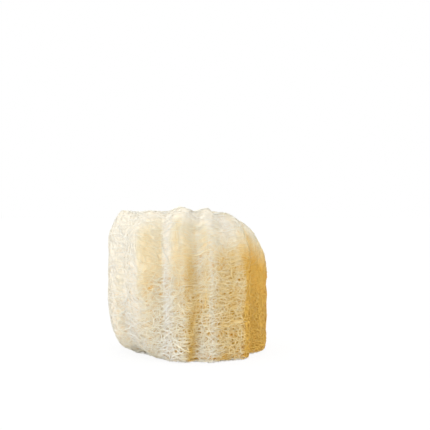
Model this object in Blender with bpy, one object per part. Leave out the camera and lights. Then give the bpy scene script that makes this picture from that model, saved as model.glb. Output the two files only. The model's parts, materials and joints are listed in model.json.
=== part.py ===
"""A loofah sponge: a crosswise section of a dried luffa gourd that stands on one of its two cut ends.

It is one piece of natural fibre. An outer wall with long soft lobes goes round three seed channels,
which run right through from end to end and leave a solid core between them. Metres, +Z up. The side
that the photograph shows faces -Y, and angles are counted from there, turning towards +X.
"""

import math
import random

import bmesh
import bpy
from mathutils import Vector, noise

# Overall size, measured over the crests of the lobes
SPONGE_WIDTH = 0.1047
SPONGE_DEPTH = 0.1018
SPONGE_HEIGHT = 0.0912

# The lobes, going round from the left: angle in degrees of the groove that starts each lobe, depth of
# that groove, how far the lobe after it swells past the plain oval, and how far its rim lies under the
# highest rim.
LOBES = (
    (-79.0, 0.0036, 0.0000, 0.0018),
    (-49.4, 0.0036, -0.0004, 0.0022),
    (-15.9, 0.0044, -0.0002, 0.0000),
    (8.4, 0.0042, 0.0020, 0.0006),
    (28.0, -0.0008, 0.0034, 0.0040),
    (54.0, 0.0062, 0.0002, 0.0062),
    (94.0, 0.0040, -0.0004, 0.0050),
    (131.0, 0.0048, -0.0004, 0.0034),
    (166.0, 0.0038, -0.0016, 0.0028),
    (205.0, 0.0046, -0.0004, 0.0026),
    (242.0, 0.0042, -0.0006, 0.0020),
)
GROOVE_SHARPNESS = 1.05  # under 1 makes a groove a V and a crest round
LOBE_LEAN = 1.25  # over 1 moves a lobe's crest on towards the next groove
GROOVE_WANDER = 2.2  # degrees that a groove strays on its way up
GROOVE_UNEVENNESS = 0.35  # share by which a groove's depth varies on its way up
UNEVENNESS_FINENESS = 1.6  # turns of that unevenness against those of the wander
UNEVENNESS_SHIFT = 5.0  # keeps the two from rising and falling together
BARREL_FALL = 0.0012  # how far the wall lies further in at its two ends than at mid height

# How the wall turns in to the upper cut: how far in, how far down, and how round (1 is a straight bevel,
# 2 a quarter of an ellipse). Eight values: front, front right, right, back right, back and so on.
SHOULDER_RUN = (0.0060, 0.0145, 0.0280, 0.0200, 0.0090, 0.0080, 0.0085, 0.0070)
SHOULDER_DROP = (0.0090, 0.0260, 0.0370, 0.0280, 0.0130, 0.0130, 0.0180, 0.0140)
SHOULDER_POWER = (1.7, 1.9, 2.0, 1.9, 1.7, 1.6, 1.4, 1.5)
# How the wall turns in to the lower cut, in the same order
FOOT_RUN = (0.0005, 0.0005, 0.0012, 0.0020, 0.0030, 0.0050, 0.0100, 0.0115)
FOOT_RISE = (0.0060, 0.0040, 0.0040, 0.0060, 0.0100, 0.0200, 0.0340, 0.0320)
# How far the edge of the lower cut is frayed up off the ground, in the same order, and how wide the frayed
# band is
FOOT_LIFT = (0.0000, 0.0000, 0.0000, 0.0000, 0.0000, 0.0008, 0.0014, 0.0036)
FRAY_WIDTH = 0.0050

RIM_DIP = 0.0028  # how far the rim sinks further where a groove meets it
CUT_HOLLOW = 0.0030  # the upper cut lies this far under the highest rim
RIM_FADE = 0.40  # share of a groove's depth that is lost at the rim
CUT_MARGIN = 0.0060  # width of the band that joins the uneven rim to the level cut

# The seed channels
CHANNEL_COUNT = 3
FIRST_CHANNEL_ANGLE = 30.0
CORE_RADIUS = 0.0110
WALL_THICKNESS = 0.0110
PARTITION_THICKNESS = 0.0160
CHANNEL_SIDES = 30
CUTTER_OVERRUN = 0.0100  # how far a cutter reaches past each end

# Surface: felted lumps, loose fibre, and pores pressed into the wall
LUMP_HEIGHT = 0.0006
LUMP_SPACING = 0.0080
ROUGHNESS = 0.00030  # how far the fibre stands in or out of the lumps
STRAY = 0.00055  # how far a point of the mesh strays along the wall
PORE_COUNT = 125
PORE_RADIUS = (0.00070, 0.00115)
PORE_DEPTH = (0.0012, 0.0022)
PORE_TAPER = 0.65  # the bottom of a pore against its mouth
PORE_RAGGEDNESS = 0.18  # share by which the edge of a pore strays from round
PORE_SPACE = 0.78  # share of the way to the nearest edge of its face that a pore may take up
SURFACE_SEED = 11

# Mesh density
COLUMN_DEGREES = 3.1
LEAST_COLUMNS = 4  # in one lobe
FOOT_ROWS = 4
STRAIGHT_ROWS = 12
SHOULDER_ROWS = 8
WALL_ROWS = 1 + FOOT_ROWS + STRAIGHT_ROWS + SHOULDER_ROWS
CUT_RINGS = 2
PLAIN_ROWS = 2  # rows next to a cut that have no stray points and no pores
SMOOTH_UP_TO = 50.0  # degrees between two faces that are shaded as one surface

STRAW = (0.84, 0.76, 0.56, 1.0)
MATT = 0.85


def clear_scene():
    for old in list(bpy.data.objects):
        bpy.data.objects.remove(old)


def dry_fibre():
    """The bleached straw colour of the whole sponge."""
    material = bpy.data.materials.new("dry_luffa_fibre")
    material.use_nodes = True
    shader = material.node_tree.nodes["Principled BSDF"]
    shader.inputs["Base Color"].default_value = STRAW
    shader.inputs["Roughness"].default_value = MATT
    shader.inputs["Metallic"].default_value = 0.0
    material.diffuse_color = STRAW
    return material


def round_the_wall(values, angle):
    """One of eight values at equal steps from the front, passed smoothly into the next one."""
    turn = (angle % 360.0) / 360.0 * len(values)
    step = int(turn)
    share = 0.5 - 0.5 * math.cos(math.pi * (turn - step))
    return values[step] * (1.0 - share) + values[(step + 1) % len(values)] * share


def oval_radius(angle):
    """Radius of the plain oval that the lobes stand on."""
    sine, cosine = math.sin(math.radians(angle)), math.cos(math.radians(angle))
    return 1.0 / math.hypot(sine / (SPONGE_WIDTH / 2.0), cosine / (SPONGE_DEPTH / 2.0))


def wall_columns():
    """The columns of points round the wall, each with its angle, crest (0 in a groove, 1 on a lobe),
    groove depth, swell, and rim sink under the highest rim."""
    columns = []
    for index, (start, depth, swell, sink) in enumerate(LOBES):
        after = LOBES[(index + 1) % len(LOBES)]
        end = after[0] + (360.0 if after[0] < start else 0.0)
        steps = max(LEAST_COLUMNS, round((end - start) / COLUMN_DEGREES))
        groove_sinks = ((LOBES[index - 1][3] + sink) / 2.0, (sink + after[3]) / 2.0)
        for step in range(steps):
            along = step / steps
            crest = math.sin(math.pi * along**LOBE_LEAN) ** GROOVE_SHARPNESS
            side = groove_sinks[0] if along < 0.5 else groove_sinks[1]
            columns.append(
                {
                    "angle": start + (end - start) * along,
                    "crest": crest,
                    "depth": depth + (after[1] - depth) * along,
                    "swell": swell,
                    "sink": sink * crest + (side + RIM_DIP) * (1.0 - crest),
                }
            )
    return columns


def wall_point(column, height, inset, fade):
    """A point of the outer wall. inset moves it towards the axis, and fade is how far the lobes fade."""
    turn = math.radians(column["angle"])
    level = 2.0 * height / SPONGE_HEIGHT - 1.0
    drift = noise.noise(Vector((math.cos(turn), math.sin(turn), level)))
    finer_level = UNEVENNESS_FINENESS * level + UNEVENNESS_SHIFT
    unevenness = noise.noise(Vector((math.sin(turn), math.cos(turn), finer_level)))
    angle = column["angle"] + GROOVE_WANDER * drift
    depth = column["depth"] * (1.0 + GROOVE_UNEVENNESS * unevenness)
    lobing = column["swell"] * column["crest"] - depth * (1.0 - column["crest"])
    radius = oval_radius(angle) - BARREL_FALL * level * level - inset
    radius += (1.0 - RIM_FADE * fade) * lobing
    sine, cosine = math.sin(math.radians(angle)), math.cos(math.radians(angle))
    point = Vector((radius * sine, -radius * cosine, height))
    radius += LUMP_HEIGHT * noise.noise(point / LUMP_SPACING)
    return Vector((radius * sine, -radius * cosine, height))


def column_points(column):
    """The points of one column of the wall, from the lower cut to the rim."""
    angle = column["angle"]
    top = SPONGE_HEIGHT - column["sink"]
    run, drop = round_the_wall(SHOULDER_RUN, angle), round_the_wall(SHOULDER_DROP, angle)
    foot_run, foot_rise = round_the_wall(FOOT_RUN, angle), round_the_wall(FOOT_RISE, angle)
    lift = round_the_wall(FOOT_LIFT, angle)
    bend = 2.0 / round_the_wall(SHOULDER_POWER, angle)
    points = [wall_point(column, 0.0, foot_run + FRAY_WIDTH, 0.0)]
    for row in range(FOOT_ROWS):
        turn = 0.5 * math.pi * row / FOOT_ROWS
        height = lift + (foot_rise - lift) * (1.0 - math.cos(turn))
        points.append(wall_point(column, height, foot_run * (1.0 - math.sin(turn)), 0.0))
    for row in range(STRAIGHT_ROWS):
        height = foot_rise + (top - drop - foot_rise) * row / STRAIGHT_ROWS
        points.append(wall_point(column, height, 0.0, 0.0))
    for row in range(SHOULDER_ROWS + 1):
        turn = 0.5 * math.pi * row / SHOULDER_ROWS
        height = top - drop * (1.0 - math.sin(turn) ** bend)
        inset = run * (1.0 - max(0.0, math.cos(turn)) ** bend)
        points.append(wall_point(column, height, inset, row / SHOULDER_ROWS))
    return points


def cut_points(rim):
    """Points from the rim in to the level cut, in a band of the width CUT_MARGIN."""
    outward = Vector((rim.x, rim.y, 0.0)).normalized()
    level = SPONGE_HEIGHT - CUT_HOLLOW
    points = []
    for ring in range(1, CUT_RINGS + 1):
        share = ring / CUT_RINGS
        eased = 0.5 - 0.5 * math.cos(math.pi * share)
        inner = rim - outward * CUT_MARGIN * share
        inner.z = rim.z + (level - rim.z) * eased
        points.append(inner)
    return points


def roughen(wall_points, chance):
    """Strays the wall's points a little along the wall, and in or out, as loose fibre does."""
    for vertex in wall_points:
        outward = Vector((vertex.co.x, vertex.co.y, 0.0)).normalized()
        around = Vector((-outward.y, outward.x, 0.0))
        vertex.co += outward * chance.uniform(-ROUGHNESS, ROUGHNESS)
        vertex.co += around * chance.uniform(-STRAY, STRAY)
        vertex.co.z += chance.uniform(-STRAY, STRAY)


def press_pore(mesh, face, chance):
    """Presses a ragged round pit with a flat bottom into a four-sided face."""
    centre, inward = face.calc_center_median(), -face.normal
    corners = list(face.verts)
    towards = [(corner.co - centre).normalized() for corner in corners]
    directions = []
    for here, after in zip(towards, towards[1:] + towards[:1]):
        directions += [here, (here + after).normalized()]
    edge_middles = [(edge.verts[0].co + edge.verts[1].co) / 2.0 for edge in face.edges]
    room = PORE_SPACE * min((middle - centre).length for middle in edge_middles)
    radius, depth = min(chance.uniform(*PORE_RADIUS), room), chance.uniform(*PORE_DEPTH)
    mouth, bottom = [], []
    for direction in directions:
        reach = radius * (1.0 + chance.uniform(-PORE_RAGGEDNESS, PORE_RAGGEDNESS))
        mouth.append(mesh.verts.new(centre + direction * reach))
        bottom.append(mesh.verts.new(centre + direction * reach * PORE_TAPER + inward * depth))
    bmesh.ops.delete(mesh, geom=[face], context="FACES_ONLY")
    sides = len(directions)
    for index, corner in enumerate(corners):
        after = corners[(index + 1) % len(corners)]
        first, middle, last = (mouth[(2 * index + step) % sides] for step in range(3))
        mesh.faces.new((corner, after, middle))
        mesh.faces.new((corner, middle, first))
        mesh.faces.new((after, last, middle))
    for index in range(sides):
        after = (index + 1) % sides
        mesh.faces.new((mouth[index], mouth[after], bottom[after], bottom[index]))
    mesh.faces.new(bottom)


def press_pores(mesh, wall_faces, chance):
    """Presses pores here and there into the wall, no two of them in touching faces."""
    used = set()
    for face in chance.sample(wall_faces, PORE_COUNT):
        corners = set(face.verts)
        if not corners & used:
            used |= corners
            press_pore(mesh, face, chance)


def sponge_mesh():
    """The lobed wall and both cuts as one closed surface, with its box centred on the axis."""
    mesh = bmesh.new()
    chance = random.Random(SURFACE_SEED)
    rings = []
    for column in wall_columns():
        points = column_points(column)
        points += cut_points(points[-1])
        rings.append([mesh.verts.new(point) for point in points])
    wall_faces = []
    for here, beside in zip(rings, rings[1:] + rings[:1]):
        for row in range(len(here) - 1):
            face = mesh.faces.new((here[row], beside[row], beside[row + 1], here[row + 1]))
            if PLAIN_ROWS <= row < WALL_ROWS - PLAIN_ROWS:
                wall_faces.append(face)
    mesh.faces.new([ring[0] for ring in reversed(rings)])
    mesh.faces.new([ring[-1] for ring in rings])
    roughen([vertex for ring in rings for vertex in ring[PLAIN_ROWS : WALL_ROWS - PLAIN_ROWS]], chance)
    mesh.normal_update()
    press_pores(mesh, wall_faces, chance)
    xs = [vertex.co.x for vertex in mesh.verts]
    ys = [vertex.co.y for vertex in mesh.verts]
    centre = Vector(((min(xs) + max(xs)) / 2.0, (min(ys) + max(ys)) / 2.0, 0.0))
    bmesh.ops.translate(mesh, verts=mesh.verts, vec=-centre)
    return mesh


def new_object(name, mesh, material=None):
    data = bpy.data.meshes.new(name)
    mesh.to_mesh(data)
    mesh.free()
    made = bpy.data.objects.new(name, data)
    bpy.context.scene.collection.objects.link(made)
    if material is not None:
        data.materials.append(material)
    return made


def channel_cutter(index):
    """A prism of one seed channel: an oval bent round the axis between the core and the wall."""
    deepest_groove = max(depth for _, depth, _, _ in LOBES)
    outer_radius = min(SPONGE_WIDTH, SPONGE_DEPTH) / 2.0 - deepest_groove - WALL_THICKNESS
    middle = (CORE_RADIUS + outer_radius) / 2.0
    half_depth = (outer_radius - CORE_RADIUS) / 2.0
    half_turn = math.pi / CHANNEL_COUNT - PARTITION_THICKNESS / 2.0 / middle
    centre_turn = math.radians(FIRST_CHANNEL_ANGLE + 360.0 * index / CHANNEL_COUNT)
    mesh = bmesh.new()
    loop = []
    for side in range(CHANNEL_SIDES):
        round_turn = 2.0 * math.pi * side / CHANNEL_SIDES
        radius = middle + half_depth * math.cos(round_turn)
        turn = centre_turn + half_turn * math.sin(round_turn)
        loop.append(
            mesh.verts.new((radius * math.sin(turn), -radius * math.cos(turn), -CUTTER_OVERRUN))
        )
    floor = mesh.faces.new(loop)
    raised = bmesh.ops.extrude_face_region(mesh, geom=[floor])
    upper = [item for item in raised["geom"] if isinstance(item, bmesh.types.BMVert)]
    bmesh.ops.translate(
        mesh, verts=upper, vec=(0.0, 0.0, SPONGE_HEIGHT + 2.0 * CUTTER_OVERRUN)
    )
    bmesh.ops.recalc_face_normals(mesh, faces=mesh.faces)
    cutter = new_object(f"seed_channel_cutter_{index + 1}", mesh)
    cutter.hide_render = True
    cutter.display_type = "WIRE"
    return cutter


def loofah_sponge():
    sponge = new_object("loofah_sponge", sponge_mesh(), dry_fibre())
    sponge.data.shade_smooth()
    sponge.data.set_sharp_from_angle(angle=math.radians(SMOOTH_UP_TO))
    for index in range(CHANNEL_COUNT):
        cut = sponge.modifiers.new(f"seed_channel_{index + 1}", "BOOLEAN")
        cut.operation = "DIFFERENCE"
        cut.solver = "EXACT"
        cut.object = channel_cutter(index)
    return sponge


clear_scene()
loofah_sponge()
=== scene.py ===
# %% [markdown]
# # A loofah sponge
#
# When a ripe luffa gourd dries, its skin and flesh fall away and a springy net of plant fibre is left. A
# loofah sponge is one length of that net, cut straight across at both ends. It has no parts to put
# together: a felted outer wall with long soft lobes, and inside it a looser net with seed channels that
# run from cut to cut.
#
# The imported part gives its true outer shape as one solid. This script keeps that shape and makes it out of
# what the real thing is made of, which is thousands of thin fibres.

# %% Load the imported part
import itertools
import json
import math

import bpy
import numpy as np
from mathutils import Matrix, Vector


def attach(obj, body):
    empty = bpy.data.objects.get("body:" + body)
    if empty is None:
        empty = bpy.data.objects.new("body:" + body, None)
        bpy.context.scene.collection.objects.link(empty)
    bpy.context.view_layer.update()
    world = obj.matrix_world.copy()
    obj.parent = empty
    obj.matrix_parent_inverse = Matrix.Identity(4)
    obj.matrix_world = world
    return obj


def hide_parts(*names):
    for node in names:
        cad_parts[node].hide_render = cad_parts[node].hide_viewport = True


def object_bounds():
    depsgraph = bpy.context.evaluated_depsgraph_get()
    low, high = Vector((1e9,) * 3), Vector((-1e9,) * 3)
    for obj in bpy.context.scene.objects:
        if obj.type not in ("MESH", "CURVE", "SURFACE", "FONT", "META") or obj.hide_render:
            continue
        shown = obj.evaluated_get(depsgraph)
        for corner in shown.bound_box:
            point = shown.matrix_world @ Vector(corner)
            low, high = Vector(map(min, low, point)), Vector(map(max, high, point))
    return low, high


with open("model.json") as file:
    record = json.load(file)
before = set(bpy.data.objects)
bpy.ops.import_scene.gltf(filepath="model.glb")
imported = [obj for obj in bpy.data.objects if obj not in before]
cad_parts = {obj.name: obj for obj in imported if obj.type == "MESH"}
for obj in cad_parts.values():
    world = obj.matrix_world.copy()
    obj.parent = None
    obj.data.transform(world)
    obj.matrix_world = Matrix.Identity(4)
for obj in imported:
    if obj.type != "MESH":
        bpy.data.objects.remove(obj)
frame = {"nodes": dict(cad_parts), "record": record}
cad_low, cad_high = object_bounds()
cad_sponge = frame["nodes"]["loofah_sponge"]
MM = 0.001
HEIGHT = cad_high.z
WIDTH = cad_high.x - cad_low.x
print("solid, mm:", [round(side / MM, 1) for side in cad_high - cad_low])

# %% [markdown]
# ## Reading the solid's surface
#
# Fibres have to lie on the wall, follow its lobes and dip into its grooves, so the script needs to know
# where the wall is. It could repeat the formulas that shaped the solid, but then the two could drift
# apart. Instead a fine grid of points is wrapped round the solid like cling film, with Blender's
# Shrinkwrap modifier, and read back as an array. The grid then is the wall: a function of two
# parameters, how far round and how far up.


# %% Grids as meshes
def grid_faces(rows, columns, closed=True):
    """The four corner numbers of each face of a grid: point, next in the row, both of the next row."""
    across = np.arange(columns if closed else columns - 1)
    start = np.arange(rows - 1)[:, None] * columns
    here, beside = start + across, start + (across + 1) % columns
    return np.stack([here, beside, beside + columns, here + columns], axis=-1).reshape(-1, 4)


def mesh_of(name, points, *face_sets):
    """A mesh from an array of points and arrays of faces; all faces of one array have as many corners."""
    mesh = bpy.data.meshes.new(name)
    mesh.vertices.add(len(points))
    mesh.vertices.foreach_set("co", points.astype(np.float32).ravel())
    corners = np.concatenate([faces.ravel() for faces in face_sets])
    sizes = np.concatenate([np.full(len(faces), faces.shape[1]) for faces in face_sets])
    mesh.loops.add(len(corners))
    mesh.loops.foreach_set("vertex_index", corners.astype(np.int32))
    mesh.polygons.add(len(sizes))
    mesh.polygons.foreach_set("loop_start", (np.cumsum(sizes) - sizes).astype(np.int32))
    mesh.update(calc_edges=True)
    return mesh


def link(name, mesh):
    """A new object at the origin that holds the mesh."""
    made = bpy.data.objects.new(name, mesh)
    bpy.context.scene.collection.objects.link(made)
    return made


def read_points(mesh, what="co"):
    """The places, or the normals, of a mesh's points as one array."""
    values = np.empty(len(mesh.vertices) * 3, np.float32)
    mesh.vertices.foreach_get(what, values)
    return values.reshape(-1, 3).astype(float)


# %% Wrap a grid round the solid
def wrapped(points, closed=True, inwards=True):
    """A grid of points moved along its own normals until it meets the solid."""
    rows, columns = points.shape[:2]
    mesh = mesh_of("wrap", points.reshape(-1, 3), grid_faces(rows, columns, closed))
    film = link("wrap", mesh)
    wrap = film.modifiers.new("wrap", "SHRINKWRAP")
    wrap.target = cad_sponge
    wrap.wrap_method = "PROJECT"
    wrap.use_negative_direction = inwards
    wrap.use_positive_direction = not inwards
    evaluated = film.evaluated_get(bpy.context.evaluated_depsgraph_get())
    found = read_points(evaluated.data).reshape(rows, columns, 3)
    bpy.data.objects.remove(film)
    bpy.data.meshes.remove(mesh)
    return found


# %% [markdown]
# Three tools serve the grids from here on. Smoothing takes the facets of the solid out of what was read,
# the middle value of each neighbourhood leaves out narrow pits, and reading between grid points lets a
# fibre pass anywhere, not only over the points themselves.

# %% Smoothing and reading a grid
def smoothed(values, times, closed=True):
    """Each value takes a quarter from either neighbour, along the rows and then along the columns."""
    for _ in range(times):
        if closed:
            values = 0.5 * values + 0.25 * (np.roll(values, 1, 1) + np.roll(values, -1, 1))
        padded = np.concatenate([values[:1], values, values[-1:]])
        values = 0.5 * values + 0.25 * (padded[:-2] + padded[2:])
    return values


def without_pits(values, reach=3):
    """The middle value of each point and its neighbours, which leaves out narrow pits and spikes."""
    shifts = range(-reach, reach + 1)
    layers = [np.roll(np.roll(values, down, 0), across, 1) for down in shifts for across in shifts]
    middle = np.median(np.stack(layers), axis=0)
    middle[:reach] = values[:reach]
    middle[-reach:] = values[-reach:]
    return middle


def read_grid(grid, column, row, closed=True):
    """The value between grid points: the four round it, each weighted by how near it is."""
    rows, columns = grid.shape[:2]
    row = np.clip(row, 0.0, rows - 1.001)
    if not closed:
        column = np.clip(column, 0.0, columns - 1.001)
    low_row, low_column = np.floor(row).astype(int), np.floor(column).astype(int)
    up, over = row - low_row, column - low_column
    if grid.ndim > 2:
        up, over = up[..., None], over[..., None]
    left, right = low_column % columns, (low_column + 1) % columns
    lower = grid[low_row, left] * (1 - over) + grid[low_row, right] * over
    upper = grid[low_row + 1, left] * (1 - over) + grid[low_row + 1, right] * over
    return lower * (1 - up) + upper * up


# %% [markdown]
# ### The seed channels
#
# Three rounded channels, which held the seeds, run straight through. The record gives a box round each one
# but not its outline, so the outline is read from the solid: a thin rod of points stands on the channel's
# middle line and swells until it meets the wall.

# %% Wrap the channels
ROD_RADIUS = 3.0 * MM
ROD_LEVELS = np.linspace(0.4, 0.6, 3) * HEIGHT
CHANNEL_COLUMNS = 90

around = np.linspace(0.0, 2.0 * np.pi, CHANNEL_COLUMNS, endpoint=False)
spokes = np.stack([np.cos(around), np.sin(around)], axis=-1)


def channel_outline(opening):
    """The middle of a channel and, for each direction round it, how far away its wall stands."""
    low, high = np.array(opening["box_m"])
    centre = 0.5 * (low + high)[:2]
    levels = ROD_LEVELS[:, None, None] * np.ones((1, CHANNEL_COLUMNS, 1))
    ring = np.broadcast_to(centre + ROD_RADIUS * spokes, (len(ROD_LEVELS), CHANNEL_COLUMNS, 2))
    section = wrapped(np.concatenate([ring, levels], axis=-1), inwards=False)[1, :, :2]
    radius = np.linalg.norm(section - centre, axis=-1)
    return {"centre": centre, "radius": smoothed(radius[None], 2)[0]}


channels = [channel_outline(opening) for opening in frame["record"]["physics"]["openings"]]
print("channels, mm across:", [round(2 * channel["radius"].mean() / MM, 1) for channel in channels])


def beside_channels(places):
    """For each point, how far it is outside the nearest channel, and which way leads out of it."""
    best, way = np.full(places.shape[:-1], np.inf), np.zeros_like(places[..., :2])
    for channel in channels:
        spoke = places[..., :2] - channel["centre"]
        length = np.linalg.norm(spoke, axis=-1)
        turn = np.arctan2(spoke[..., 1], spoke[..., 0])
        outside = length - np.interp(turn, around, channel["radius"], period=2.0 * np.pi)
        nearer = outside < best
        best = np.where(nearer, outside, best)
        way = np.where(nearer[..., None], spoke / np.maximum(length, 1e-9)[..., None], way)
    return best, way


# %% [markdown]
# ### The wall
#
# Rays from the middle of the sponge meet its skin once each, so a globe of points round it can fall
# straight in. The lines of longitude run up the wall, over the shoulder and onto the upper cut. Where one
# falls into the mouth of a channel, its height is filled in from the points on either side of the mouth.

# %% Wrap the wall
MIDDLE = np.array([0.0, 0.0, 0.5 * HEIGHT])
GLOBE_RADIUS = 1.3 * WIDTH
WALL_COLUMNS, GLOBE_ROWS = 500, 290
FOOT_CLEAR_RADIUS = 35.6 * MM
LOWEST_LATITUDE = -math.atan2(0.5 * HEIGHT, FOOT_CLEAR_RADIUS)
HIGHEST_LATITUDE = math.radians(76.0)
MOUTHS_ABOVE = math.radians(25.0)
MISSED_REACH = 0.9 * GLOBE_RADIUS
MOUTH_MARGIN = 1.0 * MM
RIM_DROP = 0.3 * MM
RIM_EASING = 400

longitude = np.linspace(0.0, 2.0 * np.pi, WALL_COLUMNS, endpoint=False)
latitude = np.linspace(LOWEST_LATITUDE, HIGHEST_LATITUDE, GLOBE_ROWS)[:, None]
level_part = np.cos(latitude)
towards = np.stack(
    [
        level_part * np.sin(longitude),
        -level_part * np.cos(longitude),
        np.sin(latitude) * np.ones_like(longitude),
    ],
    axis=-1,
)
fallen = wrapped(MIDDLE + GLOBE_RADIUS * towards)
reach = np.linalg.norm(fallen - MIDDLE, axis=-1)
in_a_mouth = (beside_channels(fallen)[0] < MOUTH_MARGIN) | (reach > MISSED_REACH)
in_a_mouth &= latitude > MOUTHS_ABOVE
grid_rows = np.arange(GLOBE_ROWS)
for column in range(WALL_COLUMNS):
    found = ~in_a_mouth[:, column]
    height = np.interp(grid_rows, grid_rows[found], fallen[found, column, 2])
    filled = (height - MIDDLE[2]) / towards[:, column, 2]
    reach[:, column] = np.where(found, reach[:, column], filled)
reach = smoothed(without_pits(reach), 2)
globe = MIDDLE + reach[..., None] * towards
rim_row = np.argmax(globe[..., 2] > globe[..., 2].max(axis=0) - RIM_DROP, axis=0)
rim_radius = np.hypot(*np.moveaxis(globe[rim_row, np.arange(WALL_COLUMNS), :2], -1, 0))
for _ in range(RIM_EASING):
    rim_radius = 0.5 * rim_radius + 0.25 * (np.roll(rim_radius, 1) + np.roll(rim_radius, -1))
print("globe points in a mouth, filled in:", int(in_a_mouth.sum()))

# %% [markdown]
# The globe's rows crowd together on the shoulder and run on past the rim. So each line of longitude is
# cut off at the foot and a little past the rim, and its rows are set out again at even steps, once for
# the side and once for the shoulder. The number of rows is then the same all round.

# %% Even rows from foot to rim
SIDE_ROWS, SHOULDER_ROWS = 115, 46
SHOULDER_LATITUDE = math.radians(30.0)
FOOT_LINE = 0.6 * MM
BAND_PAST_RIM = 2.5 * MM
MOUTH_LIP = 0.5 * MM
MOUTH_SIDE = 8


def even_rows(points, low, high, count):
    """Each column's points from one row to another, read again at equal steps along the way."""
    columns = []
    for column in range(points.shape[1]):
        line = points[low[column] : high[column] + 1, column]
        way = np.concatenate([[0.0], np.cumsum(np.linalg.norm(np.diff(line, axis=0), axis=1))])
        steps = np.linspace(0.0, way[-1], count)
        columns.append(np.stack([np.interp(steps, way, line[:, axis]) for axis in range(3)], axis=-1))
    return np.stack(columns, axis=1)


first_row = np.argmax(globe[..., 2] > FOOT_LINE, axis=0)
shoulder_row = np.full(WALL_COLUMNS, np.searchsorted(latitude[:, 0], SHOULDER_LATITUDE))
over_the_rim = np.hypot(globe[..., 0], globe[..., 1]) < rim_radius - BAND_PAST_RIM
ended = (over_the_rim | (beside_channels(globe)[0] < MOUTH_LIP)) & (latitude > SHOULDER_LATITUDE)
last_row = np.where(ended.any(axis=0), np.argmax(ended, axis=0), GLOBE_ROWS - 1)
shifts = range(-MOUTH_SIDE, MOUTH_SIDE + 1)
last_row = np.min([np.roll(last_row, shift) for shift in shifts], axis=0)
last_row = np.mean([np.roll(last_row, shift) for shift in shifts], axis=0).astype(int)
wall_side = even_rows(globe, first_row, shoulder_row, SIDE_ROWS)
shoulder = even_rows(globe, shoulder_row, last_row, SHOULDER_ROWS)
wall = smoothed(np.concatenate([wall_side, shoulder[1:]]), 2)
WALL_ROWS = len(wall)
rim_radius = np.hypot(wall[-1, :, 0], wall[-1, :, 1]) + BAND_PAST_RIM
print("wall chart:", wall.shape, "rim, mm from the middle:", np.round(rim_radius[::50] / MM, 1))


# %% [markdown]
# A fibre also has to know which way is out and how far one step over the grid carries it, because the
# grid's cells are not all of one size. Both come from the differences between neighbouring points. A grid
# with its normals and step lengths is called a chart from here on.

# %% Slopes and normals of a chart
SHORTEST_STEP = 0.03 * MM


def chart_of(points, closed=True):
    """A chart is a grid of points, with its outward normals and how far one column or row step goes."""
    if closed:
        along = 0.5 * (np.roll(points, -1, 1) - np.roll(points, 1, 1))
    else:
        along = np.gradient(points, axis=1)
    upward = np.gradient(points, axis=0)
    normal = np.cross(along, upward)
    length = np.linalg.norm(normal, axis=-1, keepdims=True)
    return {
        "points": points,
        "normals": normal / np.maximum(length, 1e-12),
        "column_step": np.maximum(np.linalg.norm(along, axis=-1), SHORTEST_STEP),
        "row_step": np.maximum(np.linalg.norm(upward, axis=-1), SHORTEST_STEP),
        "area": length[..., 0],
        "closed": closed,
    }


wall_chart = chart_of(wall)
print("wall, square cm:", round(float(wall_chart["area"].sum()) * 1e4))

# %% [markdown]
# ### The two cuts
#
# The upper cut is read from above, as a height over a flat grid. Over the channels, heights are filled in
# from round about, so that a fibre at the edge of a mouth lies as high as the net beside it. The lower
# cut is level, because the sponge stands on it.

# %% Wrap the upper cut
CUT_POINTS = 150
FILLING_STEPS = 300
SHEET_START = 2.0 * HEIGHT
MISSED_HEIGHT = 1.5 * HEIGHT
CUT_MIDDLE = 6.0 * MM
DEEPEST_FALL = 25.0 * MM
CHANNEL_LIP = 0.6 * MM

sheet_x, sheet_y = np.meshgrid(
    np.linspace(cad_low.x, cad_high.x, CUT_POINTS), np.linspace(cad_low.y, cad_high.y, CUT_POINTS)
)
sheet = np.stack([sheet_x, sheet_y], axis=-1)
raised_sheet = np.stack([sheet_x, sheet_y, np.full_like(sheet_x, SHEET_START)], axis=-1)
dropped_height = wrapped(raised_sheet, closed=False)[..., 2]
CUT_LEVEL = float(np.median(dropped_height[np.hypot(sheet_x, sheet_y) < CUT_MIDDLE]))
on_top = (dropped_height < MISSED_HEIGHT) & (dropped_height > CUT_LEVEL - DEEPEST_FALL)
on_top &= beside_channels(sheet)[0] > CHANNEL_LIP
cut_height = np.where(on_top, dropped_height, CUT_LEVEL)
for _ in range(FILLING_STEPS):
    cut_height = np.where(on_top, cut_height, smoothed(cut_height, 1, closed=False))
upper_chart = chart_of(np.concatenate([sheet, cut_height[..., None]], axis=-1), closed=False)
lower_chart = chart_of(np.stack([sheet_x, sheet_y, 0.0 * sheet_x], axis=-1), closed=False)
print("upper cut, mm:", round(CUT_LEVEL / MM, 1))

# %% [markdown]
# ## Where the colour and the pores change
#
# Most of the gold on the wall is painted shade. Slopes that face the lamp are painted nearly white,
# and slopes turned away from it are painted pale gold, up to a deep gold, as a luffa's shade side looks.
# An image could be painted for this, but one would have to be made for every side. Here it is worked
# out from the wall. The way the wall faces sets its first value, the grooves get some more painted shade,
# and a short table then makes each lobe of the front paler or deeper, once for its lower and once for its
# upper part. One flank, turned right away from the lamp, is painted all gold as shade. The shoulder and
# the foot are painted paler, as painted light, and slow noise breaks the borders up. The result is stored
# as a map over angle and height, so that the felt, the fibres on it and the cuts all read the same one.


# %% Slow and fast noise
def lattice(seed, channels=1, size=48):
    """A block of random values, which noise reads between."""
    return np.random.default_rng(seed).uniform(-1.0, 1.0, (size, size, size, channels))


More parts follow.
